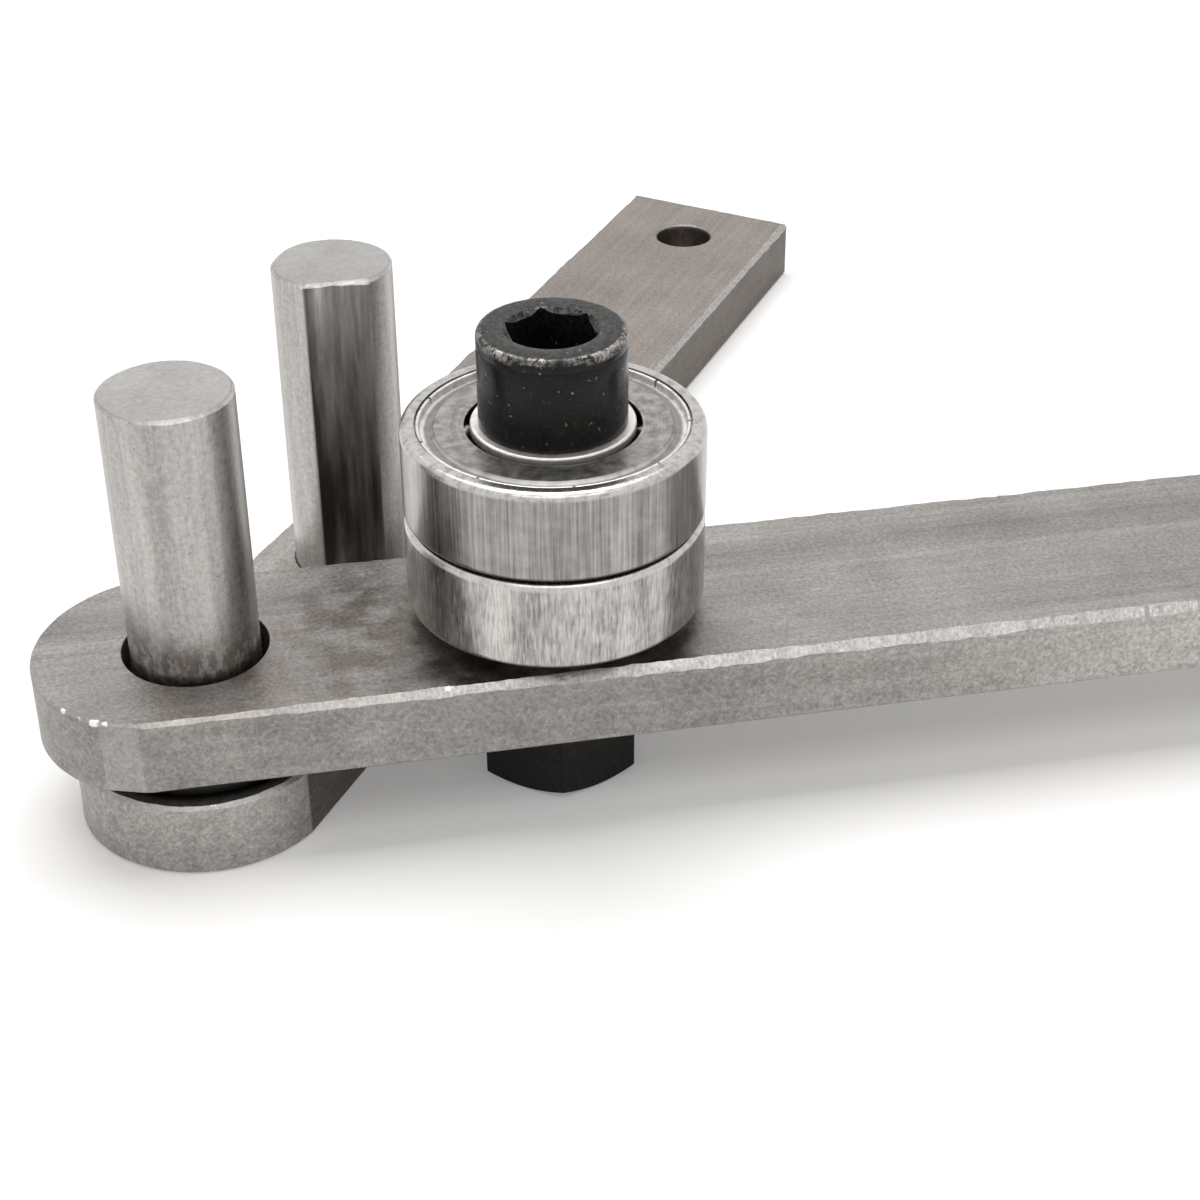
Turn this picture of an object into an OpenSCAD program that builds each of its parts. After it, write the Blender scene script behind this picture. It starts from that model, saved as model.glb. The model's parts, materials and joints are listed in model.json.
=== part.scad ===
// Manual wire bender: two flat steel bars joined at one end by a pivot pin. A rod is laid between
// the pivot pin and the stop pin, and the two ball bearings on the lever roll it round the pivot.
// The origin is on the pivot axis, level with the underside of the lower arm. The lower arm runs
// along X. The lever lies above it, swung clockwise from it by the opening angle.

/* [Bars] */
// Width of both flat bars
bar_w = 32; // [28:1:40]
// Thickness of both flat bars
bar_t = 10; // [8:0.5:14]
// Pivot axis to the far end of the lower arm
arm_reach = 183; // [120:1:260]
// Pivot axis to the far end of the lever
lever_reach = 183; // [120:1:400]
// Pivot axis to the rounded end of the lower arm
arm_nose = 16.5; // [14:0.5:24]
// Pivot axis to the rounded end of the lever
lever_nose = 20; // [16:0.5:26]
// How much larger the radius of the lower arm's rounded end is than half the bar's width
arm_nose_over = 0.2; // [0:0.1:4]
// How much larger the radius of the lever's rounded end is than half the bar's width
lever_nose_over = 1.2; // [0:0.1:4]
// Ground bevel along the upper edges of the lower arm
arm_bevel = 0.8; // [0.2:0.1:2]
// Ground bevel along the upper edges of the lever
lever_bevel = 1.2; // [0.2:0.1:2]
// Bevel round the upper edge of the lower arm's rounded end
arm_nose_bevel = 0.8; // [0.1:0.1:2]
// Bevel round the upper edge of the lever's rounded end
lever_nose_bevel = 0.3; // [0.1:0.1:2]
// How far out of square the lower arm's far end is sawn
arm_end_skew = 5; // [-8:0.5:8]
// Diameter of the hole near the far end of each bar
hang_hole_d = 10; // [5:0.5:14]
// Far end to the centre of that hole
hang_hole_edge = 14; // [10:0.5:30]

/* [Pins] */
// Diameter of the pivot pin and the stop pin
pin_d = 16; // [10:0.5:20]
// How far the pivot pin stands above the lever
pivot_pin_rise = 35; // [20:0.5:60]
// How far the stop pin stands above the level of the lever's top
stop_pin_rise = 32; // [20:0.5:60]
// Pivot axis to the stop pin's axis
stop_pin_reach = 45; // [36:0.5:70]
// Direction of the stop pin, turned from the lower arm's own direction
stop_pin_angle = 4; // [-8:0.5:8]
// Depth of the flat milled down the stop pin
flat_depth = 1.2; // [0.4:0.1:3]
// Direction that the flat faces, turned from the lower arm's own direction
flat_angle = -146; // [-180:1:180]
// Height above the lower arm at which the flat starts
flat_foot = 1; // [0:0.5:10]
// Bevel round the top of each pin
pin_bevel = 0.5; // [0.2:0.1:1.5]
// Width of the weld round each pin's foot, at the underside
weld_w = 2.5; // [1.5:0.1:4]
// Depth of the weld
weld_depth = 2; // [1:0.1:4]
// Width of the weld at its root
weld_root = 0.5; // [0.2:0.1:1]

/* [Lever joint] */
// Angle between the bars as the tool is shown
opening = 56; // [40:1:150]
// Radial looseness of the lever's hole on the pivot pin
lever_play = 1; // [0.1:0.1:2]
// Free gap under the lever
axial_play = 0.1; // [0.05:0.05:0.5]
// Outer diameter of the washer on the pivot pin
pivot_washer_d = 28; // [24:0.5:32]
// Thickness of the washer on the pivot pin
pivot_washer_t = 2.5; // [1.5:0.5:4]
// Radial looseness of every washer on what it is threaded over
washer_play = 0.5; // [0.2:0.1:1]

/* [Roller bolt] */
// Pivot axis to the roller bolt's axis
roller_reach = 45; // [42:0.5:70]
// Diameter of the bolt's head
head_d = 18; // [16:0.5:19.5]
// Height of the bolt's head
head_h = 12; // [9:0.5:16]
// Rounding of the head's upper edge
head_round = 1; // [0.2:0.1:2]
// Width across the flats of the head's socket
socket_af = 10; // [6:0.5:11]
// Depth of the socket
socket_depth = 6; // [3:0.5:8]
// Depth of the round lead-in at the socket's mouth
socket_lead = 0.6; // [0.2:0.1:1.5]
// Point angle of the drilled end of the socket
drill_angle = 118; // [90:1:135]
// Turn of the socket's corners from the lever's own direction
socket_turn = 33; // [0:1:60]
// Pitch of the thread
thread_pitch = 1.75; // [1.25:0.25:2]
// Length of bolt that is threaded
thread_len = 36; // [20:1:38]
// Length of the bolt's tapered tip
tip_len = 1; // [0.5:0.1:1.5]
// Radial gap between the bolt's thread and the nut's
thread_play = 0.05; // [0.02:0.01:0.1]
// Radial gap between the bolt and the bearings
bolt_play = 0.03; // [0.01:0.01:0.1]
// Radial clearance of the bolt's hole in the lever
bolt_hole_play = 0.5; // [0.2:0.1:1]
// Outer diameter of the washers on the bolt
bolt_washer_d = 24; // [22:0.5:26]
// Thickness of the washers on the bolt
bolt_washer_t = 2.5; // [1.5:0.5:4]
// Width across the flats of the nut
nut_af = 19; // [17:0.5:22]
// Height of the nut
nut_h = 10; // [8:0.5:12]
// Turn of the nut's corners from the lever's own direction
nut_turn = 23; // [0:1:60]
// How far the bolt's tip stays inside the nut
bolt_inset = 4; // [1:0.5:6]

/* [Bearings] */
// Bore of each bearing
bearing_bore = 12; // [10:0.5:13]
// Outer diameter of each bearing
bearing_od = 37; // [35:0.5:44]
// Width of each bearing
bearing_w = 12; // [11:0.5:16]
// Rounding of the outer ring's outer corners
outer_round = 1; // [0.4:0.1:1.5]
// Rounding of the inner ring's bore
bore_round = 0.6; // [0.2:0.1:1]
// Number of balls
ball_count = 7; // [6:1:7]
// Gap between a ball and its grooves
ball_play = 0.08; // [0.05:0.01:0.1]
// How far each face of the outer ring is set back from the inner ring's
ring_play = 0.05; // [0.03:0.01:0.1]
// Width of the outer ring's face outside its shield
rim_w = 1.8; // [1.4:0.1:2]

/* [Shields and cages] */
// Thickness of the shields' sheet
shield_t = 0.35; // [0.2:0.05:0.4]
// Depth of a shield's flat part below the bearing's face
shield_recess = 0.5; // [0.3:0.05:0.6]
// Depth of the channel below the flat part
channel_depth = 0.5; // [0.2:0.05:0.5]
// Width of the channel
channel_w = 1.3; // [0.8:0.1:1.5]
// Width of the slope into the channel
slope_w = 0.4; // [0.2:0.1:0.6]
// Width of the lip that is pressed into the outer ring
lip_w = 0.5; // [0.3:0.05:0.6]
// Depth of the lip's crest below the bearing's face
lip_recess = 0.15; // [0.05:0.05:0.3]
// Gap between the lip and the outer ring
lip_play = 0.15; // [0.05:0.05:0.3]
// Depth of the outer ring's groove that holds the shield
undercut = 0.35; // [0.15:0.05:0.5]
// Gap round the shield's edge in that groove
shield_play = 0.05; // [0.02:0.01:0.1]
// Gap between a shield and the inner ring
shield_bore_play = 0.75; // [0.3:0.05:1]
// Number of slits in a shield's lip
slit_count = 9; // [6:1:12]
// Width of each slit
slit_w = 0.4; // [0.2:0.1:0.8]
// Direction of the first slit, from the lever's own direction
slit_start = 28; // [0:1:60]
// Thickness of the cages' sheet
cage_t = 0.4; // [0.3:0.05:0.5]
// Gap between a ball and its pocket
pocket_play = 0.1; // [0.05:0.01:0.15]
// Height of a cage rivet's heads
rivet_head_h = 0.3; // [0.2:0.05:0.4]

/* [Hidden] */
$fn = 96;

// Cutters run past the faces that they cut by this much
overrun = 1;
// Radial gap of what is pressed or welded in place
fixed_play = 0.02;

// Colours
bar_steel = [0.62, 0.60, 0.57];
pin_steel = [0.58, 0.57, 0.55];
weld_steel = [0.45, 0.42, 0.40];
washer_steel = [0.66, 0.66, 0.64];
black_steel = [0.13, 0.13, 0.13];
bearing_steel = [0.80, 0.80, 0.79];
cage_steel = [0.70, 0.70, 0.68];

// Radii
pin_r = pin_d / 2;
pin_hole_r = pin_r + fixed_play;
bolt_r = bearing_bore / 2 - bolt_play;
washer_hole_r = bolt_r + washer_play;

// Levels, from the bench up
lever_z = bar_t + pivot_washer_t + axial_play;
lever_top = lever_z + bar_t;
lower_seat = lever_top + bolt_washer_t;
lower_mid = lower_seat + bearing_w / 2;
upper_mid = lower_mid + bearing_w;
head_z = upper_mid + bearing_w / 2;
nut_z = lever_z - bolt_washer_t - nut_h;
bolt_end = nut_z + bolt_inset;
thread_top = bolt_end + thread_len;

// Thread, as ring grooves: the crest, a flank, the root and a flank fill one pitch
crest_share = 1 / 8;
flank_share = 5 / 16;
root_share = 1 / 4;
thread_depth_share = 0.613;
thread_root_r = bolt_r - thread_depth_share * thread_pitch;
bolt_turns = floor((thread_len - tip_len) / thread_pitch);
nut_turns = ceil((thread_top - nut_z) / thread_pitch) + 1;

// Bearing rings, measured from the bearing's middle plane. The rings' shoulders and the balls take
// these shares of the space between bore and outside, as in standard bearings.
ring_face = bearing_w / 2;
bearing_space = (bearing_od - bearing_bore) / 2;
inner_wall_share = 0.32;
outer_wall_share = 0.296;
ball_share = 0.6352;
inner_shoulder_r = bearing_bore / 2 + inner_wall_share * bearing_space;
outer_shoulder_r = bearing_od / 2 - outer_wall_share * bearing_space;
pitch_r = (inner_shoulder_r + outer_shoulder_r) / 2;
ball_d = ball_share * bearing_space;
groove_r = ball_d / 2 + ball_play;

// Shield
flat_top = ring_face - shield_recess;
channel_top = flat_top - channel_depth;
lip_top = ring_face - lip_recess;
seat_low = channel_top - shield_t - shield_play;
rim_r = bearing_od / 2 - rim_w;
lip_out = rim_r - lip_play;
lip_in = lip_out - lip_w;
channel_in = lip_in - channel_w;
flange_r = rim_r + undercut - shield_play;

// Cage: it fills a share of the gap between the rings, and the land is the flat between two pockets
cage_share = 0.5625;
cage_w = cage_share * (outer_shoulder_r - inner_shoulder_r);
pocket_r = ball_d / 2 + pocket_play;
pocket_out_r = pocket_r + cage_t;
land_w = 2 * pitch_r * sin(180 / ball_count) - 2 * pocket_out_r;
rivet_share = 0.45;
rivet_head_share = 0.7;
rivet_r = land_w * rivet_share / 2;
rivet_head_r = land_w * rivet_head_share / 2;

// Places

// What belongs to the lever is drawn with the lever along X and then swung with it
module on_lever() {
    rotate([0, 0, -opening]) children();
}

// A height on the roller bolt's axis
module on_bolt(z) {
    on_lever() translate([roller_reach, 0, z]) children();
}

// The foot of the stop pin
module at_stop() {
    rotate([0, 0, stop_pin_angle]) translate([stop_pin_reach, 0, 0])
        rotate([0, 0, -stop_pin_angle]) children();
}

// Shared shapes

// What a rounded corner of a section leaves over, for the corner that points to +X and +Y
module corner_waste(r) {
    difference() {
        square(r + overrun);
        circle(r);
    }
}

// Section of a turned ring, with rounded outer and inner corners
module ring_section(r_in, r_out, z_low, z_high, round_out, round_in = 0) {
    difference() {
        translate([r_in, z_low]) square([r_out - r_in, z_high - z_low]);
        if (round_out > 0) {
            translate([r_out - round_out, z_high - round_out]) corner_waste(round_out);
            translate([r_out - round_out, z_low + round_out]) rotate(270) corner_waste(round_out);
        }
        if (round_in > 0) {
            translate([r_in + round_in, z_high - round_in]) rotate(90) corner_waste(round_in);
            translate([r_in + round_in, z_low + round_in]) rotate(180) corner_waste(round_in);
        }
    }
}

// Flat bar along X with bevelled upper edges and one rounded end
module bar_blank(reach, nose, over, bevel, nose_bevel, skew) {
    nose_r = bar_w / 2 + over;
    nose_x = nose_r - nose;
    half = bar_w / 2;
    wide = half + overrun;
    intersection() {
        translate([-nose - overrun, 0, 0]) rotate([90, 0, 90])
            linear_extrude(nose + reach + bar_w) polygon([
                [-half, 0], [half, 0], [half, bar_t - bevel], [half - bevel, bar_t],
                [bevel - half, bar_t], [-half, bar_t - bevel]
            ]);
        union() {
            translate([nose_x, 0, 0]) rotate_extrude() polygon([
                [0, 0], [nose_r, 0], [nose_r, bar_t - nose_bevel], [nose_r - nose_bevel, bar_t],
                [0, bar_t]
            ]);
            linear_extrude(bar_t) polygon([
                [nose_x, -wide], [reach - wide * tan(skew), -wide],
                [reach + wide * tan(skew), wide], [nose_x, wide]
            ]);
        }
    }
}

// Round through hole in a bar that lies at z = 0
module bar_hole(r) {
    translate([0, 0, -overrun]) cylinder(r = r, h = bar_t + 2 * overrun);
}

// Round pin with a bevelled top
module pin_blank(top) {
    rotate_extrude() polygon([
        [0, 0], [pin_r, 0], [pin_r, top - pin_bevel], [pin_r - pin_bevel, top], [0, top]
    ]);
}

// Cone of the weld round a pin's foot, grown sideways for its seat in the bar
module weld_cone(grow) {
    slope = (weld_w - weld_root) / weld_depth;
    foot_r = pin_r + weld_w + grow;
    rotate_extrude() polygon([
        [0, -overrun], [foot_r + overrun * slope, -overrun], [foot_r - weld_depth * slope, weld_depth],
        [0, weld_depth]
    ]);
}

// Flat washer standing on z = 0
module washer(outer_d, hole_r, t) {
    difference() {
        cylinder(d = outer_d, h = t);
        translate([0, 0, -overrun]) cylinder(r = hole_r, h = t + 2 * overrun);
    }
}

// Half section of the threaded length, as grooves from the top of the thread down
function thread_points(turns, grow) = [
    for (i = [0 : turns - 1])
        let (z = thread_top - i * thread_pitch, z1 = z - crest_share * thread_pitch,
             z2 = z1 - flank_share * thread_pitch, z3 = z2 - root_share * thread_pitch)
            each [[bolt_r + grow, z], [bolt_r + grow, z1],
                  [thread_root_r + grow, z2], [thread_root_r + grow, z3]]
];

// Hexagonal prism, measured across its flats
module hexagon(af, h, turn) {
    rotate([0, 0, turn]) cylinder(d = af / cos(30), h = h, $fn = 6);
}

// Bearing pieces, drawn round the bearing's centre with the axis along Z

module outer_ring() {
    half = ring_face - ring_play;
    rotate_extrude() difference() {
        ring_section(outer_shoulder_r, bearing_od / 2, -half, half, outer_round);
        translate([pitch_r, 0]) circle(groove_r);
        for (up = [0, 1]) mirror([0, up]) {
            translate([0, seat_low]) square([rim_r, ring_face]);
            translate([0, seat_low])
                square([rim_r + undercut, shield_t + 2 * shield_play]);
        }
    }
}

module inner_ring() {
    rotate_extrude() difference() {
        ring_section(bearing_bore / 2, inner_shoulder_r, -ring_face, ring_face, bore_round / 2,
            bore_round);
        translate([pitch_r, 0]) circle(groove_r);
    }
}

module at_each_ball() {
    for (i = [0 : ball_count - 1])
        rotate([0, 0, i * 360 / ball_count]) translate([pitch_r, 0, 0]) children();
}

module at_each_land() {
    rotate([0, 0, 180 / ball_count]) at_each_ball() children();
}

module ball_set() {
    at_each_ball() sphere(d = ball_d);
}

// Upper half of the pressed cage: flat lands joined by half-round pockets
module cage_half() {
    difference() {
        intersection() {
            washer(2 * pitch_r + cage_w, pitch_r - cage_w / 2, pocket_out_r);
            union() {
                washer(2 * pitch_r + cage_w, pitch_r - cage_w / 2, cage_t);
                at_each_ball() sphere(r = pocket_out_r);
            }
        }
        at_each_ball() sphere(r = pocket_r);
        at_each_land() translate([0, 0, -overrun])
            cylinder(r = rivet_r + fixed_play, h = cage_t + 2 * overrun);
    }
}

module rivet_set() {
    grip = cage_t + fixed_play;
    at_each_land() {
        translate([0, 0, -grip]) cylinder(r = rivet_r, h = 2 * grip);
        translate([0, 0, grip]) cylinder(r = rivet_head_r, h = rivet_head_h);
        translate([0, 0, -grip - rivet_head_h]) cylinder(r = rivet_head_r, h = rivet_head_h);
    }
}

// Upper shield: flat ring, channel, slit lip, and the edge that sits in the outer ring's groove
module shield() {
    flat_r = channel_in - slope_w;
    lip_mid = lip_in + lip_w / 2;
    difference() {
        rotate_extrude() {
            polygon([
                [inner_shoulder_r + shield_bore_play, flat_top - shield_t],
                [flat_r, flat_top - shield_t], [channel_in, channel_top - shield_t],
                [flange_r, channel_top - shield_t], [flange_r, channel_top],
                [lip_out, channel_top], [lip_out, lip_top - lip_w / 2],
                [lip_in, lip_top - lip_w / 2], [lip_in, channel_top],
                [channel_in, channel_top], [flat_r, flat_top],
                [inner_shoulder_r + shield_bore_play, flat_top]
            ]);
            translate([lip_mid, lip_top - lip_w / 2]) circle(lip_w / 2);
        }
        for (i = [0 : slit_count - 1])
            rotate([0, 0, slit_start + i * 360 / slit_count])
                translate([lip_in - lip_w / 2, -slit_w / 2, channel_top])
                    cube([2 * lip_w, slit_w, channel_depth + shield_recess]);
    }
}

module other_way_up() {
    mirror([0, 0, 1]) children();
}

// Base: the lower arm and what is fixed to it

module lower_arm() color(bar_steel) difference() {
    bar_blank(arm_reach, arm_nose, arm_nose_over, arm_bevel, arm_nose_bevel, arm_end_skew);
    bar_hole(pin_hole_r);
    weld_cone(fixed_play);
    at_stop() {
        bar_hole(pin_hole_r);
        weld_cone(fixed_play);
    }
    translate([arm_reach - hang_hole_edge, 0, 0]) bar_hole(hang_hole_d / 2);
}

module pivot_pin() color(pin_steel) pin_blank(lever_top + pivot_pin_rise);

module stop_pin() color(pin_steel) at_stop() difference() {
    pin_blank(lever_top + stop_pin_rise);
    rotate([0, 0, flat_angle]) translate([pin_r - flat_depth, -pin_r, bar_t + flat_foot])
        cube([pin_d, pin_d, lever_top + stop_pin_rise]);
}

module pin_weld() difference() {
    intersection() {
        weld_cone(0);
        cylinder(r = pin_r + weld_w + overrun, h = weld_depth);
    }
    translate([0, 0, -overrun]) cylinder(r = pin_hole_r, h = weld_depth + 2 * overrun);
}

module pin_welds() color(weld_steel) {
    pin_weld();
    at_stop() pin_weld();
}

module pivot_washer() color(black_steel) translate([0, 0, bar_t])
    washer(pivot_washer_d, pin_r + washer_play, pivot_washer_t);

// Lever: the lever arm, the bolt and what it clamps

module lever_arm() color(bar_steel) on_lever() translate([0, 0, lever_z]) difference() {
    bar_blank(lever_reach, lever_nose, lever_nose_over, lever_bevel, lever_nose_bevel, 0);
    bar_hole(pin_r + lever_play);
    translate([roller_reach, 0, 0]) bar_hole(bolt_r + bolt_hole_play);
    translate([lever_reach - hang_hole_edge, 0, 0]) bar_hole(hang_hole_d / 2);
}

module roller_bolt() {
    socket_z = head_z + head_h - socket_depth;
    socket_r = socket_af / 2 / cos(30);
    drill_depth = socket_af / 2 / tan(drill_angle / 2);
    tip_z = thread_top - bolt_turns * thread_pitch;
    color(black_steel) on_bolt(0) difference() {
        union() {
            rotate_extrude() polygon(concat(
                [[0, head_z], [bolt_r, head_z]],
                thread_points(bolt_turns, 0),
                [[bolt_r, tip_z], [thread_root_r, tip_z - tip_len], [0, tip_z - tip_len]]
            ));
            rotate_extrude() difference() {
                ring_section(0, head_d / 2, head_z - head_round, head_z + head_h, head_round);
                translate([0, head_z - head_round]) square([head_d, head_round]);
            }
        }
        translate([0, 0, socket_z]) hexagon(socket_af, socket_depth + overrun, socket_turn);
        translate([0, 0, socket_z - drill_depth])
            cylinder(r1 = 0, r2 = socket_af / 2, h = drill_depth);
        translate([0, 0, head_z + head_h - socket_lead])
            cylinder(r1 = socket_r - socket_lead, r2 = socket_r + overrun,
                h = socket_lead + overrun);
    }
}

module roller_washer() color(washer_steel) on_bolt(lever_top)
    washer(bolt_washer_d, washer_hole_r, bolt_washer_t);

module nut_washer() color(washer_steel) on_bolt(lever_z - bolt_washer_t)
    washer(bolt_washer_d, washer_hole_r, bolt_washer_t);

module bolt_nut() {
    face_share = 0.95;
    face_r = face_share * nut_af / 2;
    flare = nut_af / 2 / cos(30) - face_r + overrun;
    rise = flare * tan(30);
    sink = thread_play + bolt_r - thread_root_r;
    color(black_steel) on_bolt(0) difference() {
        translate([0, 0, nut_z]) intersection() {
            hexagon(nut_af, nut_h, nut_turn);
            rotate_extrude() polygon([
                [0, 0], [face_r, 0], [face_r + flare, rise], [face_r + flare, nut_h - rise],
                [face_r, nut_h], [0, nut_h]
            ]);
        }
        rotate_extrude() polygon(concat(
            [[0, thread_top]],
            thread_points(nut_turns, thread_play),
            [[0, thread_top - nut_turns * thread_pitch]]
        ));
        for (up = [0, 1]) translate([0, 0, nut_z + up * nut_h]) mirror([0, 0, up])
            translate([0, 0, -overrun])
                cylinder(r1 = bolt_r + sink + overrun, r2 = bolt_r, h = sink + overrun);
    }
}

// Bearings

module upper_outer_ring() color(bearing_steel) on_bolt(upper_mid) outer_ring();

module upper_inner_ring() color(bearing_steel) on_bolt(upper_mid) inner_ring();

module upper_balls() color(bearing_steel) on_bolt(upper_mid) ball_set();

module upper_cage_top() color(cage_steel) on_bolt(upper_mid) cage_half();

module upper_cage_bottom() color(cage_steel) on_bolt(upper_mid) other_way_up() cage_half();

module upper_cage_rivets() color(cage_steel) on_bolt(upper_mid) rivet_set();

module upper_shield_top() color(cage_steel) on_bolt(upper_mid) shield();

module upper_shield_bottom() color(cage_steel) on_bolt(upper_mid) other_way_up() shield();

module lower_outer_ring() color(bearing_steel) on_bolt(lower_mid) outer_ring();

module lower_inner_ring() color(bearing_steel) on_bolt(lower_mid) inner_ring();

module lower_balls() color(bearing_steel) on_bolt(lower_mid) ball_set();

module lower_cage_top() color(cage_steel) on_bolt(lower_mid) cage_half();

module lower_cage_bottom() color(cage_steel) on_bolt(lower_mid) other_way_up() cage_half();

module lower_cage_rivets() color(cage_steel) on_bolt(lower_mid) rivet_set();

module lower_shield_top() color(cage_steel) on_bolt(lower_mid) shield();

module lower_shield_bottom() color(cage_steel) on_bolt(lower_mid) other_way_up() shield();

lower_arm();
pivot_pin();
stop_pin();
pin_welds();
pivot_washer();
lever_arm();
roller_bolt();
roller_washer();
nut_washer();
bolt_nut();
upper_outer_ring();
upper_inner_ring();
upper_balls();
upper_cage_top();
upper_cage_bottom();
upper_cage_rivets();
upper_shield_top();
upper_shield_bottom();
lower_outer_ring();
lower_inner_ring();
lower_balls();
lower_cage_top();
lower_cage_bottom();
lower_cage_rivets();
lower_shield_top();
lower_shield_bottom();
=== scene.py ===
# %% [markdown]
# # A manual wire bender
# This tool bends steel rod. Two flat bars share a pivot pin. The rod goes between the pivot pin and
# a second pin, and two ball bearings on the upper bar roll it round the pivot when that bar is
# swung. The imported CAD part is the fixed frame: every piece made here takes its place and its size
# from it, and rides on one of its bodies, so that it follows the joints.

# %% Load the CAD frame
import json
from math import asin, atan2, cos, degrees, pi, radians, sin, tan

import bmesh
import bpy
from mathutils import Matrix, Vector, noise
from mathutils.geometry import tessellate_polygon


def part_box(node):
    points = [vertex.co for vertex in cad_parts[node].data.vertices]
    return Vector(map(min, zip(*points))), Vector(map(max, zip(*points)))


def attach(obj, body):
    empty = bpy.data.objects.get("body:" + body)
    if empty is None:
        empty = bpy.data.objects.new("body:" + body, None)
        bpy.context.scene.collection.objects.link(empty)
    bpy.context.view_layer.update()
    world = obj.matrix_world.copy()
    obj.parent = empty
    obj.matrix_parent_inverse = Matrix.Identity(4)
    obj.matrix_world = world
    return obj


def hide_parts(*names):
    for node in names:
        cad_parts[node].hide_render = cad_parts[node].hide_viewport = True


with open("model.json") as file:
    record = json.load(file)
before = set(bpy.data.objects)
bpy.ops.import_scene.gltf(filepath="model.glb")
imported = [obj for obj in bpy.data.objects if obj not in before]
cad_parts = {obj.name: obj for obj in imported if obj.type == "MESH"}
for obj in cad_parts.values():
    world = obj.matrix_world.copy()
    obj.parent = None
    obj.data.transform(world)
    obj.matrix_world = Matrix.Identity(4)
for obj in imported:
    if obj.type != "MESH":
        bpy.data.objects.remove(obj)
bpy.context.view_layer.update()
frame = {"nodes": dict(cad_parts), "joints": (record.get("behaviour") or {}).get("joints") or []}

# %% [markdown]
# Blender works in metres, and a maker thinks of a tool this small in millimetres. So lengths are
# written in millimetres, and MM turns them into metres only where a mesh or a lamp is made.
# Places are read off the frame, so that a changed CAD part would carry its dressing with it.

# %% Places and levels, in millimetres
MM = 0.001
joints = {joint["name"]: joint for joint in frame["joints"]}


def node_box(node):
    """Lowest and highest corner of a CAD node, in millimetres."""
    low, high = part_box(node)
    return low / MM, high / MM


def levels_of(node):
    """Lowest and highest level of a CAD node, in millimetres."""
    low, high = node_box(node)
    return low.z, high.z


def axis_of(node):
    """Where the upright axis of a round CAD node is, seen from above."""
    low, high = node_box(node)
    return (low.xy + high.xy) / 2


bolt_axis = Vector(joints["upper_roller_spin"]["pos_m"]).xy / MM
lever_turn = atan2(bolt_axis.y, bolt_axis.x)
pivot_axis = axis_of("pivot_pin")
stop_axis = axis_of("stop_pin")
arm_low, arm_high = node_box("lower_arm")
half_width = (arm_high.y - arm_low.y) / 2
thickness = arm_high.z
lever_base, lever_top = levels_of("lever_arm")
pivot_top, stop_top = levels_of("pivot_pin")[1], levels_of("stop_pin")[1]
print("lever turned by", round(degrees(lever_turn), 1), "degrees, top at", round(lever_top, 1))

# %% [markdown]
# ## The camera
# The photo looks along the lever's end from the front and above. The camera is given by how it
# stands to the lever: where on the lever's top it aims, how far off it is, and how it is turned.

# %% Camera


def direction(around, up):
    """Unit vector from two angles: around is clockwise from the Y axis, and up is from level."""
    return Vector((sin(around) * cos(up), cos(around) * cos(up), sin(up)))


def put(name, data):
    """A new object in the scene, at the origin."""
    thing = bpy.data.objects.new(name, data)
    bpy.context.scene.collection.objects.link(thing)
    return thing


aim = Vector((50.651, 0.094, lever_top))
aim_distance = 276.15
heading = 0.1958
tilt = -0.5674
roll = -0.0034

sight = direction(heading, tilt)
across = Vector((cos(heading), -sin(heading), 0))
camera_axes = Matrix((across, across.cross(sight), -sight)).transposed()
camera_turn = (camera_axes @ Matrix.Rotation(roll, 3, "Z")).to_4x4()
swing = Matrix.Rotation(lever_turn, 4, "Z")

camera_data = bpy.data.cameras.new("view")
camera_data.sensor_width = 36
camera_data.lens = 65.43
camera_data.clip_start = 10 * MM
camera = put("view", camera_data)
camera.matrix_world = swing @ Matrix.Translation((aim - sight * aim_distance) * MM) @ camera_turn
bpy.context.scene.camera = camera
print("camera at", [round(c / MM) for c in camera.matrix_world.translation], "mm")

# %% [markdown]
# ## Helpers for meshes
# Most pieces are turned shapes: a list of rows, each a (radius, height) pair, spun round an upright
# axis. A row can also be a function of the angle, which is how a hexagon, a milled flat or a worn
# rim comes from the same helper. Everything is in millimetres until the mesh itself is written.

# %% Mesh helpers


def new_piece(name, points, faces, smooth_below):
    """A mesh object from points in millimetres, smooth but for edges sharper than an angle."""
    mesh = bpy.data.meshes.new(name)
    mesh.from_pydata([Vector(p) * MM for p in points], [], faces)
    shaper = bmesh.new()
    shaper.from_mesh(mesh)
    bmesh.ops.remove_doubles(shaper, verts=shaper.verts, dist=0.0005 * MM)
    bmesh.ops.recalc_face_normals(shaper, faces=shaper.faces)
    shaper.to_mesh(mesh)
    shaper.free()
    mesh.shade_smooth()
    mesh.set_sharp_from_angle(angle=radians(smooth_below))
    return put(name, mesh)


def on_circle(radius, angle, centre=(0, 0)):
    """A point of a circle, as an (x, y) pair."""
    return centre[0] + radius * cos(angle), centre[1] + radius * sin(angle)


def turned(rows, columns, centre=(0, 0), start=0.0, closed=False):
    """Points and faces of rows spun round an axis, from the bottom of the outside upwards."""
    points, faces, loops = [], [], []
    for row in rows:
        pole = not callable(row) and row[0] == 0
        loop = []
        for column in range(1 if pole else columns):
            angle = start + 2 * pi * column / columns
            radius, height = row(angle) if callable(row) else row
            loop.append(len(points))
            points.append((*on_circle(radius, angle, centre), height))
        loops.append(loop)
    pairs = list(zip(loops, loops[1:]))
    if closed:
        pairs.append((loops[-1], loops[0]))
    for below, above in pairs:
        for column in range(columns):
            after = (column + 1) % columns
            quad = [below[column % len(below)], below[after % len(below)],
                    above[after % len(above)], above[column % len(above)]]
            faces.append(list(dict.fromkeys(quad)))
    return points, faces


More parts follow.
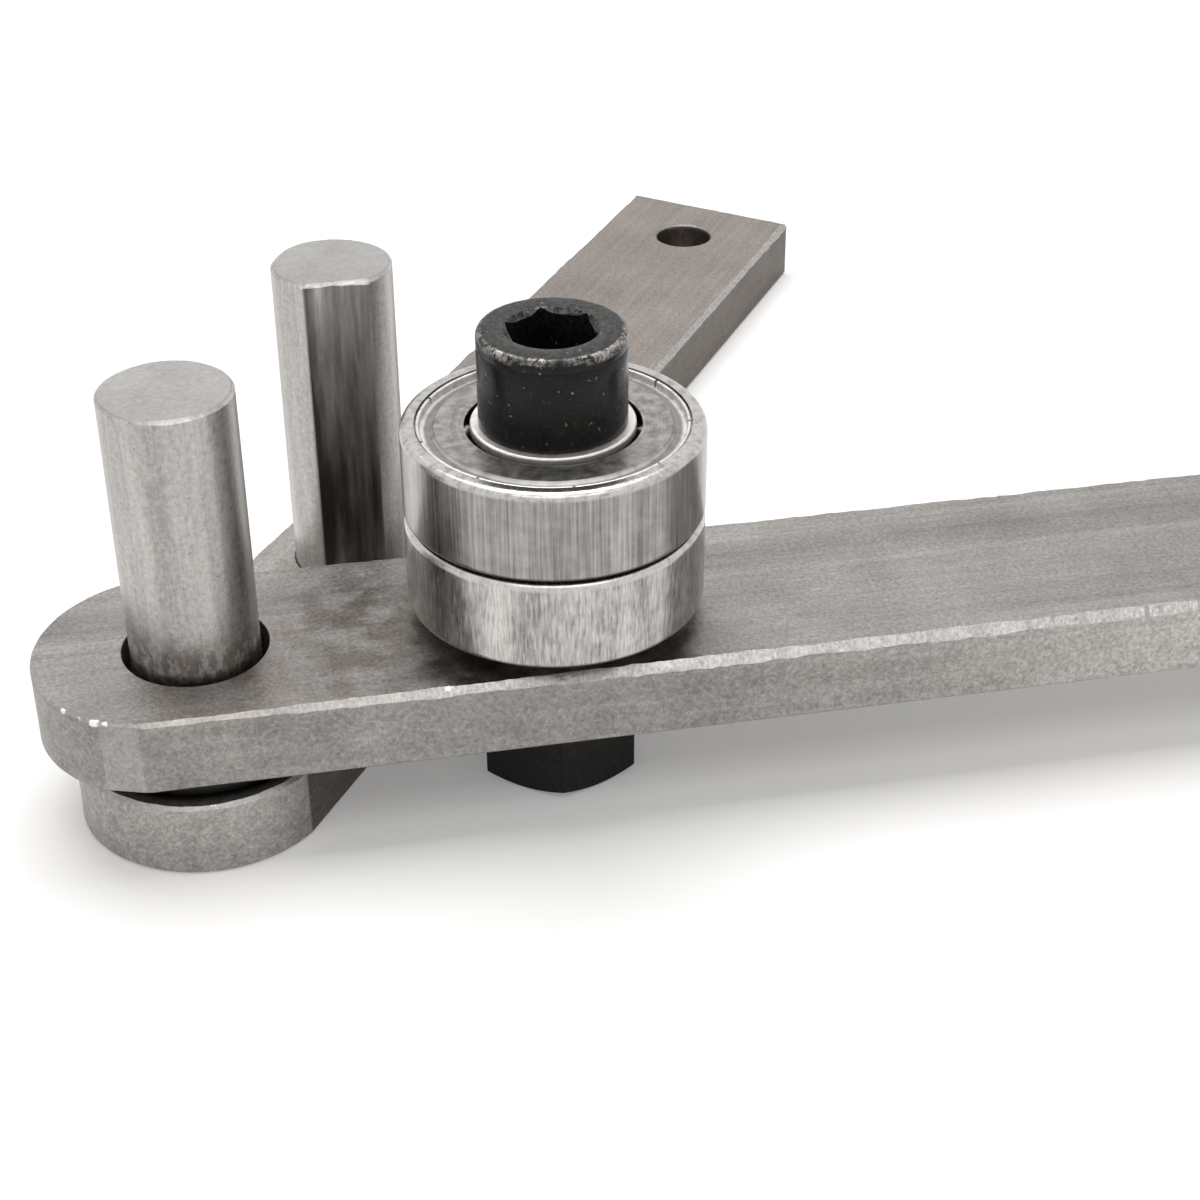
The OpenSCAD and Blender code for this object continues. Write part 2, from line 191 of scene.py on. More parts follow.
def add_part(points, faces, part, offset=(0, 0, 0), flipped=False):
    """Adds a part's points and faces to those of a piece, and says where its points begin."""
    start = len(points)
    points += [tuple(c + o for c, o in zip(point, offset)) for point in part[0]]
    faces += [tuple(start + i for i in (reversed(face) if flipped else face)) for face in part[1]]
    return start


def wander(x, y, z, wavelength, seed=0.0):
    """Smooth noise from -1 to 1, with one wave in about that many millimetres."""
    return noise.noise(Vector((x / wavelength + seed, y / wavelength - seed, z / wavelength)))


def mark(piece, name, levels, domain="POINT"):
    """Stores a level for each point or face of a piece, which its material reads by that name."""
    piece.data.attributes.new(name, "FLOAT", domain).data.foreach_set("value", levels)


def finish_piece(piece, material, body, slot, *nodes):
    """Gives a piece its material and CAD body, and the CAD nodes that it stands for. The slot is not
    used.
    """
    piece.data.materials.append(material)
    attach(piece, body)
    if nodes:
        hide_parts(*nodes)
    print(piece.name, "has", len(piece.data.polygons), "faces and rides on", body)


print("mesh helpers ready")

# %% [markdown]
# ## Helpers for materials
# A finish is a small tree of nodes. Each one starts from Object coordinates, which a Mapping node
# turns into millimetres and lines up with the piece. Noise stretched along the piece gives the
# marks of rolling, turning and grinding, and cells give pits and specks. The trees of Geometry
# Nodes and of the world are wired with the same few calls, so these sit in a class of their own.

# %% Material helper


class Wiring:
    """A node tree, with short names for adding nodes to it and joining them."""

    def __init__(self, tree):
        self.tree = tree
        self.tree.nodes.clear()

    def add(self, kind, inputs, **settings):
        node = self.tree.nodes.new(kind)
        for setting, value in settings.items():
            setattr(node, setting, value)
        for socket, value in inputs.items():
            if isinstance(value, bpy.types.NodeSocket):
                self.tree.links.new(value, node.inputs[socket])
            else:
                node.inputs[socket].default_value = value
        return node

    def calc(self, operation, a, b=0.0, c=0.0):
        return self.add("ShaderNodeMath", {0: a, 1: b, 2: c}, operation=operation).outputs[0]

    def times(self, a, b):
        return self.calc("MULTIPLY", a, b)

    def minus(self, a, b):
        return self.calc("SUBTRACT", a, b)

    def total(self, base, *shares):
        """A base with values added to it, each times its share."""
        for value, share in shares:
            base = self.calc("MULTIPLY_ADD", value, share, base)
        return base

    def span(self, value, low, high, new_low=0.0, new_high=1.0, how="SMOOTHSTEP"):
        """Carries a value from one range over to another, and holds it inside that one."""
        return self.add("ShaderNodeMapRange", {
            0: value, 1: low, 2: high, 3: new_low, 4: new_high,
        }, interpolation_type=how).outputs[0]


class Finish(Wiring):
    """One material, and short names for the nodes that its recipe uses."""

    def __init__(self, name):
        self.material = bpy.data.materials.new(name)
        self.material.use_nodes = True
        super().__init__(self.material.node_tree)

    def place(self, centre=(0, 0), turn=0.0):
        """Object coordinates in millimetres, measured from a centre and turned about Z."""
        source = self.add("ShaderNodeTexCoord", {}).outputs["Object"]
        shift = Matrix.Rotation(turn, 3, "Z") @ Vector((*centre, 0))
        return self.add("ShaderNodeMapping", {
            "Vector": source, "Location": -shift, "Rotation": (0, 0, turn), "Scale": (1 / MM,) * 3,
        }).outputs[0]

    def stretch(self, vector, scale):
        return self.add("ShaderNodeMapping", {"Vector": vector, "Scale": scale}).outputs[0]

    def noise(self, vector, scale, detail=3.0, roughness=0.55, curl=0.0):
        return self.add("ShaderNodeTexNoise", {
            "Vector": vector, "Scale": scale, "Detail": detail, "Roughness": roughness,
            "Distortion": curl,
        }).outputs[0]

    def specks(self, vector, scale, size):
        """1 inside small round specks, 0 elsewhere."""
        cells = self.add("ShaderNodeTexVoronoi", {"Vector": vector, "Scale": scale}).outputs[0]
        return self.span(cells, size, size * 0.4)

    def shaken(self, vector, scale, reach):
        """The vector moved about by a noise, which gives round marks ragged edges."""
        shake = self.add("ShaderNodeTexNoise", {"Vector": vector, "Scale": scale}).outputs["Color"]
        shake = self.add("ShaderNodeVectorMath", {0: shake, 1: (0.5,) * 3},
                         operation="SUBTRACT").outputs[0]
        return self.add("ShaderNodeVectorMath", {0: shake, 1: (reach,) * 3, 2: vector},
                        operation="MULTIPLY_ADD").outputs[0]

    def mix(self, share, a, b, how="MIX"):
        return self.add("ShaderNodeMix", {0: share, 6: a, 7: b}, data_type="RGBA",
                        blend_type=how).outputs[2]

    def ramp(self, value, stops):
        """A colour band. Stops are (place, grey) or (place, (red, green, blue))."""
        node = self.add("ShaderNodeValToRGB", {0: value})
        band = node.color_ramp.elements
        while len(band) < len(stops):
            band.new(1.0)
        for element, (place, colour) in zip(band, stops):
            element.position = place
            element.color = grey(colour) if isinstance(colour, float) else (*colour[:3], 1.0)
        return node.outputs[0]

    def axis(self, vector, letter):
        return self.add("ShaderNodeSeparateXYZ", {0: vector}).outputs[letter]

    def away(self, vector, centre=(0, 0, 0)):
        """How far the vector is from a centre."""
        return self.add("ShaderNodeVectorMath", {0: vector, 1: centre}, operation="DISTANCE").outputs[1]

    def patch(self, vector, centre, radius, soft):
        """1 round a centre, fading to 0 over a soft edge."""
        return self.span(self.away(vector, centre), radius, radius + soft, 1.0, 0.0)

    def attribute(self, name):
        return self.add("ShaderNodeAttribute", {}, attribute_name=name).outputs["Fac"]

    def bump(self, height, depth):
        """A Bump node whose full height is that many millimetres."""
        return self.add("ShaderNodeBump", {"Height": height, "Distance": depth * MM}).outputs[0]

    def surface(self, **sockets):
        inputs = {name.replace("_", " "): value for name, value in sockets.items()}
        return self.add("ShaderNodeBsdfPrincipled", inputs).outputs[0]

    def metal(self, colour, rough, relief, depth):
        return self.done(self.surface(Base_Color=colour, Metallic=1.0, Roughness=rough,
                                      Normal=self.bump(relief, depth)))

    def done(self, shader):
        self.add("ShaderNodeOutputMaterial", {"Surface": shader})
        print("finish:", self.material.name, "with", len(self.tree.nodes), "nodes")
        return self.material


def grey(level, warmth=0.0):
    """A grey that leans to red as its warmth rises."""
    return (level * (1 + warmth), level, level * (1 - warmth), 1.0)


print("material helper ready")

# %% [markdown]
# ## Steel of the bars
# Both bars are hot-rolled flat steel, dulled by handling. The surface is mottled on a scale of a
# millimetre, has faint stripes along the bar from the rolls, and brownish smudges where rod and
# grease have rubbed. Other patches on the tops are painted light and shade: a pinkish painted
# highlight near the lever's rounded end, painted shade and reflection between the pivot and the
# bearings, and a near black painted shade round the pivot on the lower bar, in the gap under the
# lever. Small creases curl over the sides, painted dark along one edge and light along the other as
# their shade and highlight: they lie where a twisted noise passes its middle value. The lever's top
# has painted reflection in lengthwise bands, and its sides are painted lighter towards the far end;
# the lower bar's sides are darkened as mill scale and painted shade. The bevels were ground by hand
# later, so they are brighter: the mesh marks those faces with an attribute, and the recipe reads
# it. Knocks have left a few bright chips on the upper edges.

# %% Bar finish


def bar_finish(name, turn, top, level, with_painted_bands, light_and_smudge_patches, chips):
    f = Finish(name)
    where = f.place(turn=-turn)
    along = f.axis(where, "X")
    on_top = f.span(f.axis(where, "Z"), top - 0.9, top - 0.3)
    on_side = f.minus(1.0, on_top)
    clouds = f.noise(where, 0.09, 4)
    grain = f.noise(where, 1.9, 5, 0.75)
    rolled = f.noise(f.stretch(where, (0.03, 1.0, 1.0)), 0.8, 4, 0.6)
    tone = f.total(0.0, (clouds, 0.20), (grain, 0.60), (rolled, 0.20))
    colour = f.ramp(tone, [
        (0.38, grey(level * 0.66, 0.055)),
        (0.50, grey(level, 0.05)),
        (0.62, grey(level * 1.35, 0.045)),
    ])
    curl = f.noise(where, 0.50, 2, 0.5, 1.0)
    # painted shade and highlight: each crease is painted dark along one edge and light along the other
    crease_shade_and_light = f.ramp(curl, [(0.40, 0.75), (0.46, 0.60), (0.50, 0.75), (0.54, 0.95), (0.60, 0.75)])
    crease_shaded = f.mix(1.0, f.mix(1.0, colour, crease_shade_and_light, "MULTIPLY"), grey(1 / 0.75), "MULTIPLY")
    colour = f.mix(f.total(0.2, (on_side, 0.35)), colour, crease_shaded)
    if with_painted_bands:
        # painted reflection: lengthwise lighter and darker bands across the lever's top
        side = f.span(f.axis(where, "Y"), -half_width, half_width, how="LINEAR")
        painted_reflection_bands = f.ramp(side, [(0.0, 1.0), (0.15, 0.88), (0.30, 0.95), (0.52, 0.92), (0.59, 1.0),
                              (0.66, 0.84), (0.78, 0.82), (0.85, 0.98), (1.0, 0.96)])
        colour = f.mix(on_top, colour, painted_reflection_bands, "MULTIPLY")
        # painted light: the lever's sides are painted lighter towards the far end
        painted_light_far_end = f.times(on_side, f.span(along, 60.0, 130.0))
        colour = f.mix(painted_light_far_end, colour, f.mix(1.0, colour, grey(1.5), "MULTIPLY"))
    else:
        far_half = f.times(on_top, f.span(along, 25.0, 90.0))
        colour = f.mix(far_half, colour, (0.74, 0.69, 0.66, 1.0), "MULTIPLY")
        # mill scale and painted shade: the lower bar's sides are darkened from where the rounded end
        # meets them
        scale_and_side_shade = f.times(on_side, f.span(along, -3.0, -2.4))
        colour = f.mix(scale_and_side_shade, colour, (0.36, 0.325, 0.30, 1.0), "MULTIPLY")
        # painted shade: round the pivot the lower bar's top is painted near black, as the shade in the
        # gap under the lever
        painted_shade = f.times(on_top, f.patch(where, (0.0, 0.0, top), 14.0, 1.6))
        colour = f.mix(painted_shade, colour, (0.04, 0.036, 0.032, 1.0))
    rub = f.noise(where, 0.22, 5, 0.6)
    polished = 0.0
    # patches on the top: a painted highlight, painted shade and reflection, and smudges
    for centre, radius, soft, tint in light_and_smudge_patches:
        # worn here is the mask of each patch, painted light and smudge alike
        worn = f.times(f.patch(where, centre, radius, soft), on_top)
        worn = f.times(worn, f.span(rub, 0.35, 0.62))
        colour = f.mix(worn, colour, tint, "MULTIPLY")
        polished = f.calc("MAXIMUM", worn, polished)
    dots = f.specks(where, 1.1, 0.13)
    colour = f.mix(f.times(dots, 0.55), colour, grey(0.10, 0.05))
    ground = f.times(f.attribute("ground"), f.span(along, -5.0, 50.0, 0.45, 1.0))
    cuts = f.noise(f.stretch(where, (1.5, 1.0, 1.0)), 1.6, 5, 0.75)
    bright = f.ramp(cuts, [(0.34, (0.27, 0.255, 0.24)), (0.5, (0.42, 0.405, 0.39)),
                           (0.66, (0.55, 0.535, 0.52))])
    colour = f.mix(ground, colour, bright)
    ragged = f.shaken(where, 1.6, 1.2)
    for x, y, radius in chips:
        colour = f.mix(f.patch(ragged, (x, y, top), radius, 0.25), colour, grey(0.80, 0.02))
    rough = f.total(0.36, (grain, 0.22), (ground, -0.06), (polished, -0.16))
    step = f.times(f.span(curl, 0.43, 0.57), on_side)
    return f.metal(colour, rough, f.total(grain, (step, 0.4), (rolled, 0.5)), 0.035)


# tints for painted light on the lever's top: a pinkish painted highlight, and a painted shadow and
# reflection
painted_highlight_tint = (1.27, 1.17, 1.11, 1.0)
painted_shadow_tint = (0.60, 0.54, 0.50, 1.0)
lever_steel = bar_finish("lever_steel", lever_turn, lever_top, 0.265, True, [
    ((2.0, -12.0, lever_top), 5.0, 6.0, painted_highlight_tint),
    ((45.0, -12.0, lever_top), 8.0, 14.0, painted_shadow_tint),
    # painted shade and reflection between the pivot and the bearing
    ((24.0, -4.0, lever_top), 8.0, 18.0, (0.86, 0.80, 0.76, 1.0)),
], [(-12.4, -14.1, 0.5), (-11.2, -14.6, 0.2), (-14.2, -12.9, 0.15), (-16.0, -11.0, 0.25),
    (29.2, -15.3, 0.3)])
arm_steel = bar_finish("arm_steel", 0.0, thickness, 0.34, False, [
    ((22.0, 4.0, thickness), 10.0, 20.0, (0.7, 0.67, 0.63, 1.0)),
], [(-13.2, -9.0, 0.2)])

# %% [markdown]
# ## The two bars
# Each bar is an outline with rows of points stacked up its side: a broken lower edge, a side that
# is very slightly uneven, and a bevel whose width wanders as a hand-held grinder leaves it. The
# flat top and bottom are filled with triangles round the holes. A plain box with a Bevel modifier
# would be quicker, but its bevel would be the same width all along.

# %% Bar outline
outline_step = 0.8


def run(start, end, part):
    """Points from start up to, but not with, end."""
    start, end = Vector(start), Vector(end)
    count = max(1, round((end - start).length / outline_step))
    return [(start.lerp(end, i / count), part) for i in range(count)]


def bar_outline(half, nose, nose_radius, front_end, back_end):
    """Outline of a bar with one rounded end, anticlockwise from the front of that end."""
    nose_x = nose_radius - nose
    lean = asin(half / nose_radius)
    side_x = nose_x - nose_radius * cos(lean)
    outline = run((side_x, -half), (front_end, -half), "front")
    outline += run((front_end, -half), (back_end, half), "end")
    outline += run((back_end, half), (side_x, half), "back")
    count = round(2 * lean * nose_radius / outline_step)
    for i in range(count):
        angle = pi - lean + 2 * lean * i / count
        outline.append((Vector(on_circle(nose_radius, angle, (nose_x, 0))), "nose"))
    return outline


def cut_corner(outline, first, last):
    """Moves what lies outside the line from first to last onto it."""
    first, last = Vector(first), Vector(last)
    along = (last - first).normalized()
    inward = Vector((-along.y, along.x))
    cut = []
    for point, part in outline:
        outside = (point - first).dot(inward)
        if outside < 0 and -1 < (point - first).dot(along) < (last - first).length + 1:
            point, part = point - inward * outside, "facet"
        cut.append((point, part))
    return cut


print("outline step", outline_step, "mm")

# %% [markdown]
# The bevel's width follows a slow noise for how the grinder was held and two quick ones for its
# chatter. In the "ground" attribute its faces get 1, except at the sawn end, and the facet gets 0.8.

# %% Bar mesh
edge_break = 0.35
side_levels = (0.28, 0.55, 0.78)
side_waver = 0.05
hole_columns = 96


def inward_at(outline, i):
    """Unit vector from a point of the outline into the bar."""
    before, after = outline[i - 1][0], outline[(i + 1) % len(outline)][0]
    along = (after - before).normalized()
    return Vector((-along.y, along.x))


def bevel_at(point, part, widths, seed):
    """Bevel width at a point of the outline. It thins out towards the rounded end."""
    width = widths[part]
    if part in ("front", "back"):
        width *= 0.42 + 0.58 * min(1, max(0, (point.x + 5) / 50))
    slow = wander(point.x, point.y, 0, 14, seed)
    quick = wander(point.x, point.y, 0, 2.4, seed + 5)
    chatter = wander(point.x, point.y, 0, 0.9, seed + 9)
    return width * max(0.3, 1 + 0.25 * slow + 0.30 * quick + 0.2 * chatter)


def bar_piece(name, outline, thick, widths, holes, place, seed):
    """A bar from its outline, its bevel widths and its holes, put in place by a matrix."""
    count = len(outline)
    inward = [inward_at(outline, i) for i in range(count)]
    bevels = [bevel_at(point, part, widths, seed) for point, part in outline]
    rows = [[(p + n * edge_break, 0) for (p, _), n in zip(outline, inward)],
            [(p, edge_break) for p, _ in outline]]
    for level in side_levels:
        height = thick * level
        rows.append([(p + n * side_waver * (1 + wander(p.x, p.y, height, 6, seed)), height)
                     for (p, _), n in zip(outline, inward)])
    rows.append([(p + n * side_waver, thick - b) for (p, _), n, b in zip(outline, inward, bevels)])
    rows.append([(p + n * b, thick) for (p, _), n, b in zip(outline, inward, bevels)])
    points = [(p.x, p.y, z) for row in rows for p, z in row]
    faces, ground = [], []
    for level in range(len(rows) - 1):
        for i in range(count):
            after = (i + 1) % count
            a = level * count
            faces.append((a + i, a + after, a + count + after, a + count + i))
            on_bevel = level == len(rows) - 2 and outline[i][1] != "end"
            on_facet = outline[i][1] == "facet" and outline[after][1] == "facet"
            ground.append(1.0 if on_bevel else 0.8 if on_facet else 0.0)
    bottoms, tops = [list(range(count))], [list(range(len(points) - count, len(points)))]
    for centre, profile in holes:
        start = add_part(points, faces, turned(profile, hole_columns, centre), flipped=True)
        ground += [0.0] * (len(faces) - len(ground))
        bottoms.append(list(range(start, start + hole_columns)))
        tops.append(list(range(len(points) - hole_columns, len(points))))
    for loops in (bottoms, tops):
        flat = [i for loop in loops for i in loop]
        for triangle in tessellate_polygon([[Vector(points[i]) for i in loop] for loop in loops]):
            faces.append(tuple(flat[i] for i in triangle))
            ground.append(0.0)
    piece = new_piece(name, [place @ Vector(p) for p in points], faces, 20)
    mark(piece, "ground", ground[:len(piece.data.polygons)], "FACE")
    return piece


def through_hole(radius, thick, lift=0.25):
    """Rows of a drilled hole with broken edges, from the bottom up."""
    return [(radius + lift, 0), (radius, lift), (radius, thick - lift), (radius + lift, thick)]


print("bar mesh ready")

# %% [markdown]
# The lever's rounded end has almost no bevel, and one flat facet was ground on its front corner.
# The lower bar has its pins welded in from below, so its two pin holes open into a cone there.

# %% Lever and lower bar
lever_length = 183.0
lever_nose = 20.0
lever_nose_radius = half_width + 1.2
roller_reach = bolt_axis.length
hang_edge = 14.0
pivot_hole, bolt_hole, hang_hole = 9.0, 6.47, 5.0
lever_bevels = {"front": 1.05, "back": 0.8, "end": 0.4, "nose": 0.22, "facet": 0.3}

lever_outline = bar_outline(half_width, lever_nose, lever_nose_radius, lever_length, lever_length)
facet_start, facet_end = (-12.3, -14.3), (-7.1, -half_width)
lever_outline = cut_corner(lever_outline, facet_start, facet_end)
lever_bar = bar_piece(
    "lever_bar", lever_outline, thickness,
    lever_bevels,
    [((0, 0), through_hole(pivot_hole, thickness, 0.08)),
     ((roller_reach, 0), through_hole(bolt_hole, thickness)),
     ((lever_length - hang_edge, 0), through_hole(hang_hole, thickness))],
    swing @ Matrix.Translation((0, 0, lever_base)), 3.0)
finish_piece(lever_bar, lever_steel, "lever", "bar_steel", "lever_arm")

seat_radius, seat_step, seat_cone = 8.02, 0.5, 2.0
weld_seat = [(seat_radius + seat_step + seat_cone, 0), (seat_radius + seat_step, seat_cone),
             (seat_radius, seat_cone), (seat_radius, thickness - 0.2), (seat_radius + 0.18, thickness)]
arm_bevels = {"front": 0.8, "back": 0.8, "end": 0.4, "nose": 0.5}
arm_length = 183.0
arm_nose = 16.5
arm_nose_radius = half_width + 0.2
skew = half_width * tan(radians(5))
arm_outline = bar_outline(half_width, arm_nose, arm_nose_radius, arm_length - skew, arm_length + skew)
lower_bar = bar_piece(
    "lower_bar", arm_outline, thickness,
    arm_bevels,
    [(pivot_axis, weld_seat), (stop_axis, weld_seat),
     ((arm_length - hang_edge, 0), through_hole(hang_hole, thickness))],
    Matrix.Identity(4), 11.0)
finish_piece(lower_bar, arm_steel, "base", "bar_steel", "lower_arm")

# %% [markdown]
# ## The pins
# Both pins are offcuts of round bar. Their sides keep lengthwise marks from drawing and some small
# pits, and the top edge was knocked off with a file, so it is uneven. The stop pin has one flat
# milled down the side that faces the rod.

# %% Pin finish
flat_direction = radians(-146)


def pin_finish(name, centre, top, foot_smudge, beside_flat_shade):
    f = Finish(name)
    where = f.place(centre)
    streaks = f.noise(f.stretch(where, (1.0, 1.0, 0.05)), 0.7, 4, 0.6)
    broad = f.noise(f.stretch(where, (1.0, 1.0, 0.05)), 0.16, 2)
    fine = f.noise(f.stretch(where, (1.0, 1.0, 0.12)), 4.0, 2)
    mottle = f.noise(where, 1.6, 4, 0.65)
    tone = f.total(0.0, (streaks, 0.20), (broad, 0.32), (fine, 0.14), (mottle, 0.34))
    colour = f.ramp(tone, [
        (0.39, (0.31, 0.295, 0.282)),
        (0.50, (0.455, 0.44, 0.425)),
        (0.60, (0.57, 0.555, 0.54)),
    ])
    height = f.axis(where, "Z")
    on_cap = f.span(height, top - 0.25, top - 0.1)
    # the caps get a tone of their own, and then a painted shade that darkens them as a whole
    colour = f.mix(f.times(on_cap, 0.6), colour, grey(0.44, 0.03))
    colour = f.mix(on_cap, colour, grey(0.86), "MULTIPLY")
    pits = f.specks(f.shaken(where, 1.8, 1.0), 0.9, 0.16)
    pits = f.times(pits, f.span(f.noise(where, 0.25, 2), 0.44, 0.56))
    colour = f.mix(f.times(pits, 0.6), colour, grey(0.14, 0.05))
    foot = f.span(height, lever_top + 2.0, lever_top + 7.0, 1.0, 0.0)
    blotches = f.noise(f.stretch(where, (1.0, 1.0, 0.6)), 0.8, 4, 0.7)
    foot = f.times(foot, f.span(blotches, 0.42, 0.54))
    colour = f.mix(f.times(foot, foot_smudge), colour, (0.10, 0.08, 0.065, 1.0))
    # painted shade and reflection: over the streaks of its milling, the flat is painted darkest to the
    # right and towards its foot, with a dark line along its left edge
    milled = f.attribute("milled")
    milling = f.noise(f.stretch(where, (1.0, 1.0, 0.10)), 0.6, 5, 0.6)
    milling = f.total(-0.05, (milling, 1.1))
    facing = f.place(centre, -flat_direction)
    right = f.axis(facing, "Y")
    sideways = f.span(right, -4.8, 1.0, -0.16, 0.03)
    rightmost = f.span(right, 2.4, 4.2, 0.0, -0.12)
    leftmost = f.span(right, -4.2, -1.6, 0.42, 0.0)
    sideways = f.calc("ADD", sideways, f.calc("ADD", rightmost, leftmost))
    downwards = f.span(height, lever_top + 4, lever_top + 30, 0.06, -0.24, "LINEAR")
    shade = f.minus(milling, f.calc("ADD", sideways, downwards))
    dark = f.ramp(shade, [(0.32, (0.075, 0.071, 0.065)), (0.50, (0.165, 0.159, 0.151)),
                          (0.78, (0.36, 0.345, 0.33)), (1.0, (0.66, 0.645, 0.63))])
    # painted shade: a band beside the flat on the stop pin is darkened
    beside = f.times(f.span(right, 4.0, 4.1), f.span(right, 5.0, 7.4, 1.0, 0.0))
    beside = f.times(beside, f.span(f.axis(facing, "X"), 0.0, 3.0))
    beside = f.times(beside, f.span(height, top - 0.5, top - 0.4, 1.0, 0.0))
    colour = f.mix(f.times(beside, beside_flat_shade), colour, grey(0.45), "MULTIPLY")
    colour = f.mix(milled, colour, dark)
    return f.metal(colour, f.total(0.28, (mottle, 0.2)), f.total(mottle, (pits, -0.6)), 0.028)


pivot_steel = pin_finish("pivot_pin_steel", pivot_axis, pivot_top, 0.6, 0.0)
stop_steel = pin_finish("stop_pin_steel", stop_axis, stop_top, 0.0, 0.8)

# %% [markdown]
# A pin is a turned shape with a row every millimetre and a half, so that its side can waver by a
# few hundredths of a millimetre and break up the reflection, as a real offcut does.

# %% Pins
pin_radius = 8.0
pin_waver = 0.02
crown_sink = 0.03
foot_chamfer = 0.4
row_gap = 1.5
flat_depth = 1.2
flat_start = thickness + 1


def pin_rows(top, seed, reach_at):
    """Rows from the foot to the middle of the top. reach_at limits the radius by angle and height."""

    def side(height):
        def row(angle):
            waver = wander(*on_circle(pin_radius, angle), height * 0.2, 5, seed)
            return reach_at(angle, height, pin_radius - pin_waver + pin_waver * waver), height
        return row

    def rim(share):
        def row(angle):
            x, y = on_circle(pin_radius, angle)
            width = 0.45 + 0.2 * wander(x, y, 0, 5, seed) + 0.12 * wander(x, y, 0, 1.1, seed + 4)
            width = max(width, 0.12)
            radius = reach_at(angle, top, pin_radius - pin_waver)
            return radius - width * share, top - width * (1 - share)
        return row

    def crown(radius):
        def row(angle):
            sink = crown_sink * (1 - wander(*on_circle(radius, angle), 0, 4, seed))
            return min(radius, reach_at(angle, top, radius)), top - sink
        return row

    rows = [(0, 0), (pin_radius - foot_chamfer, 0), (pin_radius - pin_waver, foot_chamfer)]
    heights = [foot_chamfer + row_gap * i for i in range(1, int((top - row_gap) / row_gap))]
    for height in heights:
        if height - row_gap < flat_start <= height:
            rows += [side(flat_start - 0.01), side(flat_start + 0.01)]
        rows.append(side(height))
    rows += [side(top - 0.8), rim(0.0), rim(0.5), rim(1.0), crown(6.0), crown(3.0)]
    rows.append((0, top - crown_sink))
    return rows


def plain(angle, height, radius):
    return radius


def with_flat(angle, height, radius):
    """Cuts the radius back to the milled flat above its start."""
    facing = cos(angle - flat_direction)
    if height > flat_start and facing > 0:
        return min(radius, (pin_radius - flat_depth) / facing)
    return radius


pin_columns = 144
pivot_rows = pin_rows(pivot_top, 2.0, plain)
pivot_post = new_piece("pivot_post", *turned(pivot_rows, pin_columns, pivot_axis), 35)
finish_piece(pivot_post, pivot_steel, "base", "pin_steel", "pivot_pin")
stop_rows = pin_rows(stop_top, 7.0, with_flat)
stop_post = new_piece("stop_post", *turned(stop_rows, pin_columns, stop_axis), 22)
flat_normal = Vector(on_circle(1.0, flat_direction))


def milled_at(spot):
    """1 on the milled flat, 0 elsewhere on the pin."""
    depth = pin_radius - (spot.xy - stop_axis).dot(flat_normal)
    return 1.0 if abs(depth - flat_depth) < 0.06 and spot.z > flat_start else 0.0


mark(stop_post, "milled", [milled_at(point.co / MM) for point in stop_post.data.vertices])
finish_piece(stop_post, stop_steel, "base", "pin_steel", "stop_pin")

# %% [markdown]
# ## The black screw
# A hexagon socket cap screw carries the bearings. Its steel is blackened, a thin coat that rubs
# off first at the rim, so the head gets an attribute that says how worn each point is, and the
# recipe mixes bare steel in by it.

# %% Black finish


def black_finish(name, centre, turn):
    f = Finish(name)
    where = f.place(centre, turn)
    dust = f.noise(where, 1.4, 5, 0.65)
    tint = f.ramp(dust, [(0.42, (0.003, 0.0026, 0.0024)), (0.62, (0.010, 0.0085, 0.007)),
                         (0.72, (0.040, 0.034, 0.028))])
    specks = f.specks(f.shaken(where, 2.2, 0.9), 0.95, 0.17)
    few = f.span(f.noise(where, 0.5, 2), 0.42, 0.58, 0.0, 0.8)
    few = f.times(few, f.span(f.axis(where, "Z"), lever_top, lever_top + 4))
    tint = f.mix(f.times(specks, few), tint, (0.42, 0.39, 0.35, 1.0))
    rough = f.times(f.noise(where, 0.5, 4), 0.6)
    bump = f.bump(dust, 0.012)
    coat = f.surface(Base_Color=tint, Metallic=0.0, Roughness=rough, Specular_IOR_Level=0.22,
                     Normal=bump)
    scuffs = f.noise(where, 1.6, 4, 0.7)
    bare_tint = f.ramp(scuffs, [(0.35, (0.10, 0.095, 0.09)), (0.62, (0.42, 0.40, 0.38))])
    bare = f.surface(Base_Color=bare_tint, Metallic=1.0, Roughness=0.4, Normal=bump)
    worn = f.attribute("worn")
    worn = f.times(worn, f.span(scuffs, 0.36, 0.56))
    return f.done(f.add("ShaderNodeMixShader", {0: worn, 1: coat, 2: bare}).outputs[0])


black_steel = black_finish("black_oxide", bolt_axis, -lever_turn)
washer_black_as_shade = black_finish("black_oxide_washer", pivot_axis, 0.0)

# %% [markdown]
# ## Round shapes by Geometry Nodes
# Threads and weld ripples follow a rule round a circle. A tree of Geometry Nodes can bend a plain
# grid into such a shape: the grid's X becomes the angle, its Y runs along the shape, and the rule
# gives each point its radius and height. This class holds what these trees share, from the named
# inputs to the end, where the seam is merged and the material is set.

# %% Trees that bend a grid


